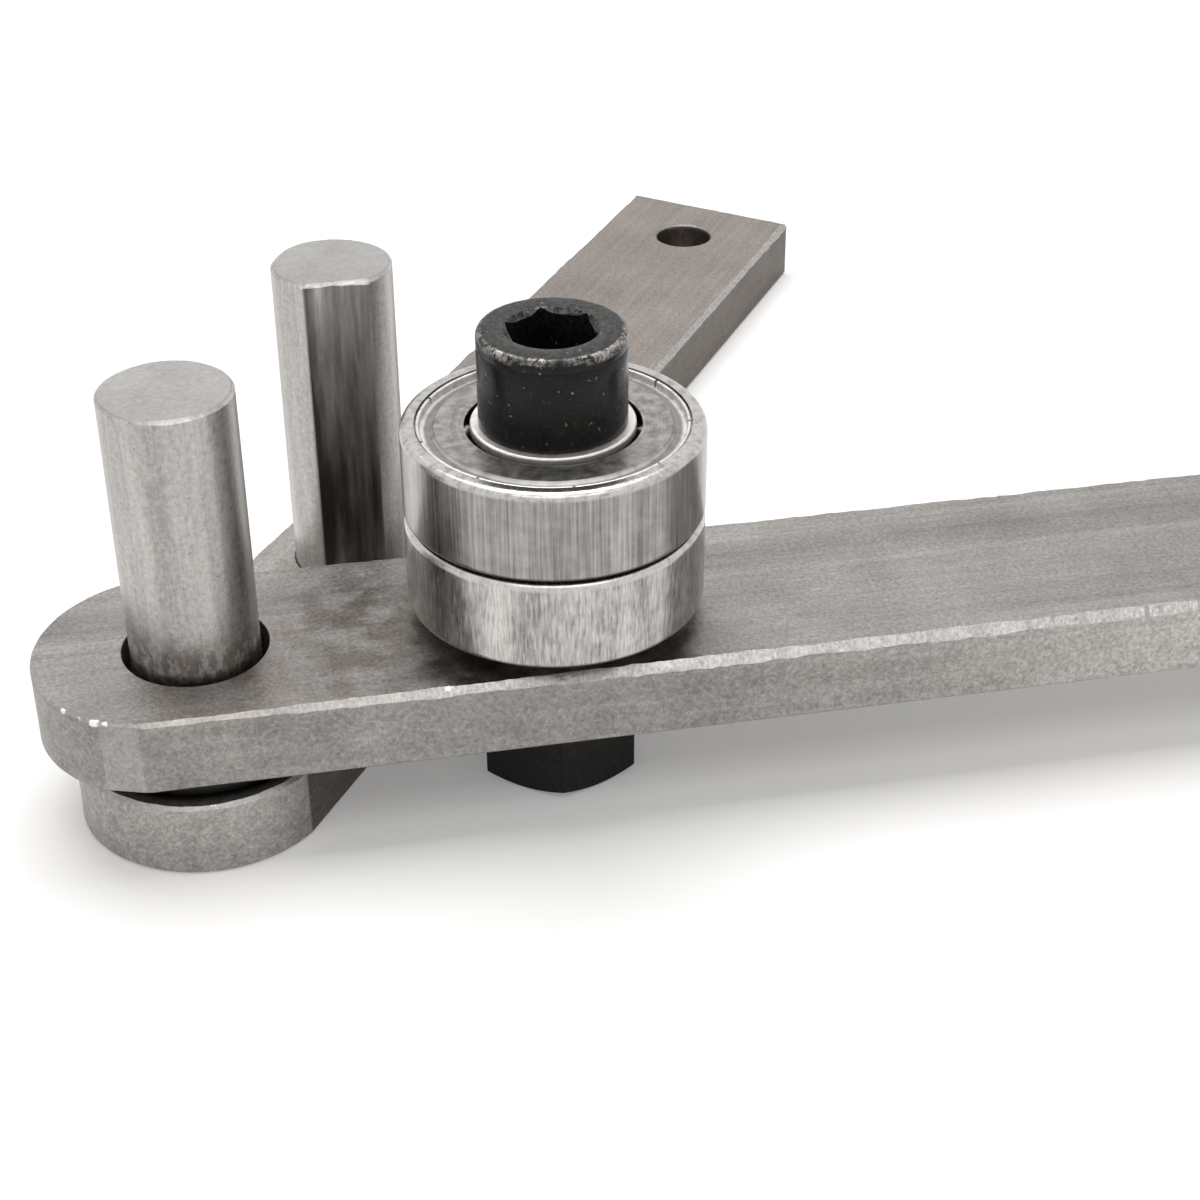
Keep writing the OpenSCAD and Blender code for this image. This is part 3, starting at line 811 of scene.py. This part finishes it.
class Growth(Wiring):
    """A tree that bends a grid round an axis, with named inputs for the lengths of its rule."""

    def __init__(self, name, lengths):
        super().__init__(bpy.data.node_groups.new(name, "GeometryNodeTree"))
        kinds = dict.fromkeys(lengths, "Float")
        kinds.update(Rows="Int", Columns="Int", Finish="Material")
        face = self.tree.interface
        for label, kind in kinds.items():
            face.new_socket(label, in_out="INPUT", socket_type="NodeSocket" + kind)
        face.new_socket("Piece", in_out="OUTPUT", socket_type="NodeSocketGeometry")
        self.given = self.tree.nodes.new("NodeGroupInput").outputs
        self.grid = self.add("GeometryNodeMeshGrid", {
            "Size X": 1.0, "Size Y": 1.0, "Vertices X": self.given["Columns"],
            "Vertices Y": self.given["Rows"],
        }).outputs[0]
        position = self.add("GeometryNodeInputPosition", {}).outputs[0]
        spot = self.add("ShaderNodeSeparateXYZ", {0: position}).outputs
        self.turn = self.calc("ADD", spot["X"], 0.5)
        self.along = self.calc("ADD", spot["Y"], 0.5)
        self.angle = self.times(self.turn, 2 * pi)

    def wrapped(self, radius, height):
        """Puts every point at its angle, radius and height, and ends the tree."""
        place = self.add("ShaderNodeCombineXYZ", {
            0: self.times(radius, self.calc("COSINE", self.angle)),
            1: self.times(radius, self.calc("SINE", self.angle)), 2: height,
        }).outputs[0]
        piece = self.add("GeometryNodeSetPosition", {"Geometry": self.grid, "Position": place})
        for kind, inputs in (("GeometryNodeMergeByDistance", {"Distance": 1e-6}),
                             ("GeometryNodeRealizeInstances", {}),
                             ("GeometryNodeSetMaterial", {"Material": self.given["Finish"]})):
            piece = self.add(kind, {"Geometry": piece.outputs[0], **inputs})
        self.tree.links.new(piece.outputs[0], self.tree.nodes.new("NodeGroupOutput").inputs[0])
        return self.tree


def grown(name, tree, values):
    """Points and faces, in millimetres, of what a tree makes with these values."""
    holder = put(name, bpy.data.meshes.new(name))
    modifier = holder.modifiers.new("tree", "NODES")
    modifier.node_group = tree
    for item in tree.interface.items_tree:
        if item.in_out == "INPUT":
            modifier[item.identifier] = values[item.name]
    evaluated = holder.evaluated_get(bpy.context.evaluated_depsgraph_get())
    mesh = bpy.data.meshes.new_from_object(evaluated)
    points = [vertex.co / MM for vertex in mesh.vertices]
    faces = [tuple(face.vertices) for face in mesh.polygons]
    holder.modifiers.remove(modifier)
    bpy.data.objects.remove(holder)
    print(name, "grew", len(faces), "faces")
    return points, faces


# %% [markdown]
# ## A thread that winds
# The CAD part has ring grooves for its thread. Here a tree makes a real helix: it takes a tube,
# finds for each point how far along the pitch it lies once its angle is added, and draws the radius
# in towards the root. One tree serves the screw and the nut.

# %% Thread


def thread_tree():
    g = Growth("helical_thread", ["Radius", "Depth", "Pitch", "Length", "Threaded", "Taper"])
    given = g.given
    height = g.times(g.along, given["Length"])
    wound = g.calc("ADD", g.calc("DIVIDE", height, given["Pitch"]), g.turn)
    flank = g.calc("ABSOLUTE", g.minus(g.times(g.calc("FRACT", wound), 2.0), 1.0))
    # the crest fills an eighth of the pitch and the root a quarter, and the rest are flanks
    sunk = g.span(flank, 0.125, 0.75, how="LINEAR")
    full = g.minus(given["Threaded"], given["Pitch"])
    faded = g.span(height, given["Threaded"], full, how="LINEAR")
    cut = g.times(g.times(sunk, faded), given["Depth"])
    radius = g.minus(given["Radius"], cut)
    short = g.calc("MAXIMUM", g.minus(given["Taper"], height), 0.0)
    radius = g.calc("MINIMUM", radius, g.minus(given["Radius"], short))
    return g.wrapped(radius, height)


winding = thread_tree()

# %% [markdown]
# The head is a turned shape too. Its rows run up the side, round the worn rim, over the top and
# down into the socket, where a row's radius follows a hexagon instead of a circle. Its mouth has a
# round lead-in, and its floor ends in the cone of the drill.

# %% Socket screw
pitch = 1.75
groove_depth = 0.613 * pitch
bolt_radius = 5.97
bolt_end, head_top = levels_of("roller_bolt")
head_height, head_radius = 12.0, 9.0
head_base = head_top - head_height
socket_half = 5.0
socket_corner = socket_half / cos(pi / 6)
lead_in = 0.6
socket_floor = head_top - 6.0
thread_end = 40.1
drill_half_angle = radians(59)
head_columns = 120
socket_angle = lever_turn + radians(33)


def hexagon(angle, half, corner_angle):
    """Radius of a hexagon with that half width, at an angle."""
    turn = (angle - corner_angle) % (pi / 3) - pi / 6
    return half / cos(turn)


def mouth(angle):
    radius = max(hexagon(angle, socket_half, socket_angle), socket_corner - lead_in)
    return radius, head_top - (socket_corner - radius)


def rim_row(share):
    def row(angle):
        x, y = on_circle(head_radius, angle)
        width = 0.75 + 0.15 * wander(x, y, 0, 6, 1.0) + 0.08 * wander(x, y, 0, 1.2, 2.0)
        bend = share * pi / 2
        return head_radius - width * (1 - cos(bend)), head_top - width * (1 - sin(bend))
    return row


head_rows = [(bolt_radius, head_base), (head_radius - 0.2, head_base), (head_radius, head_base + 0.3)]
head_rows += [(head_radius, head_base + 0.5 + 1.5 * i) for i in range(1, 6)]
head_rows += [(head_radius, head_top - 2.0), (head_radius - 0.06, head_top - 1.9),
              (head_radius, head_top - 1.8), (head_radius, head_top - 1.2)]
head_rows += [rim_row(i / 6) for i in range(7)]
head_rows += [(7.0, head_top), (socket_corner + 0.1, head_top), (socket_corner, head_top - 0.02), mouth,
              lambda angle: (hexagon(angle, socket_half, socket_angle), mouth(angle)[1]),
              lambda angle: (hexagon(angle, socket_half, socket_angle), socket_floor),
              (socket_half, socket_floor),
              (0, socket_floor - socket_half / tan(drill_half_angle))]
points, faces = turned(head_rows, head_columns, bolt_axis, socket_angle)

rod = grown("screw_thread", winding, {
    "Radius": bolt_radius * MM, "Depth": groove_depth * MM, "Pitch": pitch * MM,
    "Length": (head_base - bolt_end) * MM, "Threaded": (thread_end - bolt_end) * MM, "Taper": 1.0 * MM,
    "Rows": 260, "Columns": head_columns + 1, "Finish": black_steel,
})
start = add_part(points, faces, rod, (*bolt_axis, bolt_end))
foot = [i for i, p in enumerate(points[start:], start) if abs(p[2] - bolt_end) < 0.001]
foot.sort(key=lambda i: atan2(points[i][1] - bolt_axis.y, points[i][0] - bolt_axis.x))
faces.append(tuple(reversed(foot)))
socket_screw = new_piece("socket_screw", points, faces, 32)


def wear_at(spot):
    """How worn the black coat is: most at the rim, a little at the socket's mouth and on top."""
    radius = (spot.xy - bolt_axis).length
    at_rim = radius > head_radius - 0.6 and head_top - 0.75 < spot.z
    at_mouth = radius > socket_half - 0.1 and spot.z > head_top - 0.7 and radius < socket_corner + 0.2
    rub = 0.4 + 1.2 * wander(spot.x, spot.y, spot.z, 3.5, 6.0)
    level = rub if at_rim else 0.15 if at_mouth else 0.08 if spot.z > head_top - 0.1 else 0.0
    return min(1.0, max(0.0, level))


mark(socket_screw, "worn", [wear_at(point.co / MM) for point in socket_screw.data.vertices])
finish_piece(socket_screw, black_steel, "lever", "black_steel", "roller_bolt")

# %% [markdown]
# The nut under the lever is a hexagon whose corners are turned off at both faces. Its two side rows
# follow the hexagon, and stay back from the face where a corner reaches out, as the chamfer's cone
# leaves them. The same thread tree lines its bore.

# %% Hexagon nut
nut_base, nut_top = levels_of("bolt_nut")
nut_half = 9.5
nut_face = 0.95 * nut_half
nut_angle = lever_turn + radians(23)
nut_chamfer = radians(30)
bore_radius = bolt_radius + 0.05
mouth_depth = 0.25
bore_mouth = bore_radius + mouth_depth


def nut_side(up):
    def row(angle):
        radius = hexagon(angle, nut_half, nut_angle)
        drop = (radius - nut_face) * tan(nut_chamfer)
        return radius, nut_top - drop if up else nut_base + drop
    return row


nut_rows = [(bore_mouth, nut_base), (nut_face, nut_base), nut_side(False), nut_side(True),
            (nut_face, nut_top), (bore_mouth, nut_top)]
points, faces = turned(nut_rows, head_columns, bolt_axis, nut_angle)
nut_thread = grown("nut_thread", winding, {
    "Radius": bore_radius * MM, "Depth": groove_depth * MM, "Pitch": pitch * MM,
    "Length": (nut_top - nut_base - 2 * mouth_depth) * MM, "Threaded": 100.0 * MM, "Taper": 0.0,
    "Rows": 80, "Columns": head_columns + 1, "Finish": black_steel,
})
add_part(points, faces, nut_thread, (*bolt_axis, nut_base + mouth_depth), flipped=True)
hex_nut = new_piece("hex_nut", points, faces, 32)
finish_piece(hex_nut, black_steel, "lever", "black_steel", "bolt_nut")

# %% [markdown]
# ## Washers
# Pressed washers have one rounded and one sharper edge. The two on the screw are zinc plated. The
# gap round the pivot is black in the photo, so the washer in it is made as black as the screw: its
# black is painted shade for that gap.

# %% Washers


def plated_finish(name, centre):
    f = Finish(name)
    where = f.place(centre)
    haze = f.noise(where, 0.6, 4)
    grain = f.noise(where, 3.0, 3)
    colour = f.ramp(haze, [(0.35, (0.34, 0.335, 0.32)), (0.68, (0.52, 0.515, 0.50))])
    return f.metal(colour, f.total(0.25, (grain, 0.25)), grain, 0.01)


bolt_washer_steel = plated_finish("bolt_washer_zinc", bolt_axis)


def washer_piece(name, node, centre, hole_radius, material, slot, body):
    low, high = node_box(node)
    outer = (high.x - low.x) / 2
    rows = [(hole_radius, low.z + 0.15), (hole_radius + 0.15, low.z), (outer - 0.2, low.z),
            (outer, low.z + 0.2), (outer, high.z - 0.5), (outer - 0.15, high.z - 0.15),
            (outer - 0.5, high.z), (hole_radius + 0.3, high.z), (hole_radius, high.z - 0.3)]
    piece = new_piece(name, *turned(rows, 96, centre, closed=True), 35)
    finish_piece(piece, material, body, slot, node)


spacer_hole = 8.5
# painted shade: the washer round the pivot is made black as the shade in the gap between the bars
washer_piece("pivot_spacer", "pivot_washer", pivot_axis, spacer_hole, washer_black_as_shade,
             "black_steel", "base")
for name, node in (("roller_spacer", "roller_washer"), ("nut_spacer", "nut_washer")):
    washer_piece(name, node, bolt_axis, bolt_hole, bolt_washer_steel, "washer_steel", "lever")

# %% [markdown]
# ## Bearings
# The bearings' own CAD solids are kept, because their rings, balls and pressed shields are already
# the real shapes. They only need their finishes. The outer rings carry fine upright stripes from
# rods that have rolled against them, the lower one more than the upper.

# %% Bearing finishes
upper_middle = joints["upper_roller_spin"]["pos_m"][2] / MM
lower_middle = joints["lower_roller_spin"]["pos_m"][2] / MM


def ring_finish(name, middle, stripe_length, level, contrast, shaded_below=-5.1, haze=0.14):
    """Ring steel. The rounded upper corner gets a painted highlight, and what is lowest is painted near
    black as shade.
    """
    f = Finish(name)
    where = f.place(bolt_axis)
    corner = f.span(f.axis(where, "Z"), middle + 4.8, middle + 5.3)
    # painted shade: what lies lowest on the ring is painted near black
    painted_shade = f.span(f.axis(where, "Z"), middle + shaded_below, middle + shaded_below - 0.5)
    stripes = f.noise(f.stretch(where, (1.0, 1.0, stripe_length)), 3.2, 3, 0.6)
    broad = f.noise(f.stretch(where, (1.0, 1.0, stripe_length)), 0.3, 3)
    stain = f.noise(where, 0.5, 4, 0.6)
    tone = f.total(0.0, (broad, 0.35), (stripes, 0.45), (stain, 0.20))
    colour = f.ramp(tone, [
        (0.38, grey(level - contrast, 0.035)),
        (0.50, grey(level, 0.035)),
        (0.62, grey(level + contrast, 0.035)),
    ])
    # painted highlight on the rounded upper corner
    painted_corner_highlight = f.times(corner, f.span(f.noise(where, 0.9, 4, 0.6), 0.30, 0.60, 0.25, 0.85))
    colour = f.mix(painted_corner_highlight, colour, grey(0.60, 0.03))
    colour = f.mix(painted_shade, colour, grey(0.02, 0.1))
    return f.metal(colour, f.total(haze, (stripes, 0.2), (painted_shade, 0.3)), stripes, 0.006)


def sheet_finish(name, dark, light):
    """Pressed sheet: satin, with faint rings from the tool that drew it."""
    f = Finish(name)
    where = f.place(bolt_axis)
    away = f.away(f.stretch(where, (1.0, 1.0, 0.0)))
    rings = f.noise(f.add("ShaderNodeCombineXYZ", {0: away}).outputs[0], 3.0, 3)
    # only a shield reaches past a radius of 14.3 mm, where its channel and lip get a painted
    # highlight, with a dark painted shade in a ring round the channel
    outer = f.span(away, 14.3, 14.7)
    painted_channel_shade = f.times(f.span(away, 14.6, 14.8), f.span(away, 15.3, 15.8, 1.0, 0.0))
    haze = f.noise(where, 0.7, 4)
    tone = f.total(0.0, (haze, 0.6), (rings, 0.4))
    colour = f.ramp(tone, [(0.40, grey(dark, 0.04)), (0.60, grey(light, 0.03))])
    painted_lip_highlight = f.times(outer, f.span(haze, 0.3, 0.6, 0.6, 1.0))
    colour = f.mix(painted_lip_highlight, colour, grey(0.62, 0.03))
    colour = f.mix(f.times(painted_channel_shade, 0.7), colour, grey(0.06, 0.05))
    return f.metal(colour, f.total(0.26, (haze, 0.2), (outer, 0.16)), rings, 0.012)


def ball_finish(name):
    """Polished steel under a film of grease, made darker still as painted shade inside the bearing."""
    f = Finish(name)
    where = f.place()
    haze = f.noise(where, 0.8, 3)
    colour = f.ramp(haze, [(0.3, (0.30, 0.29, 0.275)), (0.7, (0.38, 0.37, 0.355))])
    return f.done(f.surface(Base_Color=colour, Metallic=1.0, Roughness=f.total(0.12, (haze, 0.2))))


finishes = {
    "upper_outer_ring": ring_finish("upper_ring_steel", upper_middle, 0.02, 0.31, 0.14),
    "lower_outer_ring": ring_finish("lower_ring_steel", lower_middle, 0.13, 0.40, 0.20),
    # painted shade: the inner ring is painted near black below its top face
    "inner_ring": ring_finish("inner_ring_steel", upper_middle, 1.0, 0.80, 0.05, 5.3, 0.40),
    "shield": sheet_finish("shield_steel", 0.19, 0.38),
    # painted shade: the cage is made dark, as it is seen only through the gaps of the bearing
    "cage": sheet_finish("cage_steel", 0.08, 0.16),
    "balls": ball_finish("ball_steel"),
}
for name, node in frame["nodes"].items():
    if node.hide_render:
        continue
    for key, material in finishes.items():
        if key in name:
            node.data.materials.clear()
            node.data.materials.append(material)
print("bearing nodes dressed")

# %% [markdown]
# ## Welds
# Nobody sees the underside in the photo, so how the pins are fixed there is a guess: a weld round
# each foot, kept below flush so that the bar can lie flat. The ripples of a weld follow a circle
# at equal steps, which is work for Geometry Nodes.

# %% Weld ripples by Geometry Nodes


def weld_finish():
    f = Finish("weld_skin")
    where = f.place()
    heat = f.noise(where, 0.35, 4)
    scale = f.noise(where, 2.4, 4, 0.7)
    colour = f.ramp(heat, [(0.35, (0.16, 0.14, 0.13)), (0.5, (0.25, 0.22, 0.20)),
                           (0.68, (0.36, 0.34, 0.33))])
    return f.metal(colour, f.total(0.3, (scale, 0.3)), scale, 0.03)


def weld_tree():
    g = Growth("weld_ripples", ["Inner radius", "Outer radius", "Hollow", "Ripples"])
    given = g.given
    crown = g.times(g.times(g.along, g.minus(1.0, g.along)), 4.0)
    lagging = g.total(g.times(g.turn, given["Ripples"]), (crown, 0.6))
    ripple = g.calc("POWER", g.calc("FRACT", lagging), 0.5)
    fall = g.times(crown, g.total(0.5, (ripple, 0.45)))
    height = g.times(g.minus(1.0, fall), given["Hollow"])
    wide = g.minus(given["Outer radius"], given["Inner radius"])
    return g.wrapped(g.total(given["Inner radius"], (g.along, wide)), height)


weld_steel = weld_finish()
weld_inner, weld_outer, weld_hollow = seat_radius, 10.35, 0.15
weld_columns = 272
weld_floor = seat_cone - 0.02
weld_ring = grown("weld_ring", weld_tree(), {
    "Inner radius": weld_inner * MM, "Outer radius": weld_outer * MM, "Hollow": weld_hollow * MM,
    "Ripples": 34.0, "Rows": 9, "Columns": weld_columns + 1, "Finish": weld_steel,
})
back_rows = [(weld_outer, weld_hollow), (seat_radius + seat_step - 0.02, weld_floor),
             (weld_inner, weld_floor), (weld_inner, weld_hollow)]
points, faces = [], []
for centre in (pivot_axis, stop_axis):
    add_part(points, faces, weld_ring, (*centre, 0))
    add_part(points, faces, turned(back_rows, weld_columns, centre))
foot_welds = new_piece("foot_welds", points, faces, 40)
finish_piece(foot_welds, weld_steel, "base", "weld_steel", "pin_welds")

# %% [markdown]
# ## Floor and light
# The photo has a white table and soft light from all round, so the tool's own surfaces make nearly
# all of the contrast. The world is a plain white that the lens and the metal see at full strength,
# and that lights matt things at three tenths of it. Two softboxes, one overhead and one above the
# camera, do the rest.

# %% Floor
floor_half = 3000
floor_level = -0.03
floor_mesh = bpy.data.meshes.new("floor")
sides = [(-1, -1), (1, -1), (1, 1), (-1, 1)]
corners = [(x * floor_half * MM, y * floor_half * MM, floor_level * MM) for x, y in sides]
floor_mesh.from_pydata(corners, [], [(0, 1, 2, 3)])
floor = put("floor", floor_mesh)
table = Finish("white_table")
rays = table.add("ShaderNodeLightPath", {}).outputs
paper = table.noise(table.place(), 0.05, 3)
matt = table.add("ShaderNodeBsdfDiffuse", {
    "Color": table.ramp(paper, [(0.3, (0.93, 0.92, 0.905)), (0.7, (0.95, 0.94, 0.925))]),
}).outputs[0]
glow = table.add("ShaderNodeEmission", {"Color": grey(1.0), "Strength": 0.20}).outputs[0]
lit = table.add("ShaderNodeAddShader", {0: matt, 1: glow}).outputs[0]
# far from the tool the table fades into the white of the room
off = table.away(table.place((60.0, -60.0)))
white = table.add("ShaderNodeEmission", {"Color": grey(1.0), "Strength": 1.0}).outputs[0]
lit = table.add("ShaderNodeMixShader", {0: table.span(off, 350.0, 800.0), 1: lit, 2: white}).outputs[0]
seen = table.calc("MAXIMUM", rays["Is Camera Ray"], rays["Is Glossy Ray"])
floor_mesh.materials.append(table.done(
    table.add("ShaderNodeMixShader", {0: seen, 1: matt, 2: lit}).outputs[0]))

# %% World and softboxes
world = bpy.data.worlds.new("white_room")
bpy.context.scene.world = world
world.use_nodes = True
room = Wiring(world.node_tree)
rays = room.add("ShaderNodeLightPath", {}).outputs
direct = room.calc("MAXIMUM", rays["Is Camera Ray"], rays["Is Glossy Ray"])
direct = room.calc("MAXIMUM", direct, rays["Is Transmission Ray"])
dim, full = (room.add("ShaderNodeBackground", {"Color": grey(1.0), "Strength": strength}).outputs[0]
             for strength in (0.3, 1.0))
mixed = room.add("ShaderNodeMixShader", {0: direct, 1: dim, 2: full}).outputs[0]
room.add("ShaderNodeOutputWorld", {"Surface": mixed})
print("world lights at 0.3 and is seen at 1.0")


def softbox(name, radiance, size, around, up, distance):
    """An area lamp that aims at the rollers, placed by its direction from the lever's own frame."""
    lamp = bpy.data.lights.new(name, "AREA")
    lamp.shape = "RECTANGLE"
    lamp.size, lamp.size_y = (length * MM for length in size)
    lamp.energy = radiance * pi * lamp.size * lamp.size_y
    holder = put(name, lamp)
    toward = direction(around, up)
    centre = Vector((30, 0, 30))
    spot = Matrix.Translation((centre + toward * distance) * MM)
    holder.matrix_world = swing @ spot @ toward.to_track_quat("Z", "Y").to_matrix().to_4x4()
    print("softbox", name, "gives", round(lamp.energy, 2), "W")


softbox("overhead", 4.4, (800, 650), radians(0), radians(76), 950)
softbox("front", 1.3, (900, 350), radians(180), radians(57), 900)

# %% [markdown]
# ## Hand over
# The look is kept plain: Standard view transform and default exposure, so that a colour renders
# about as it is written.

# %% Finish
bpy.context.scene.view_settings.view_transform = "Standard"
bpy.context.view_layer.update()
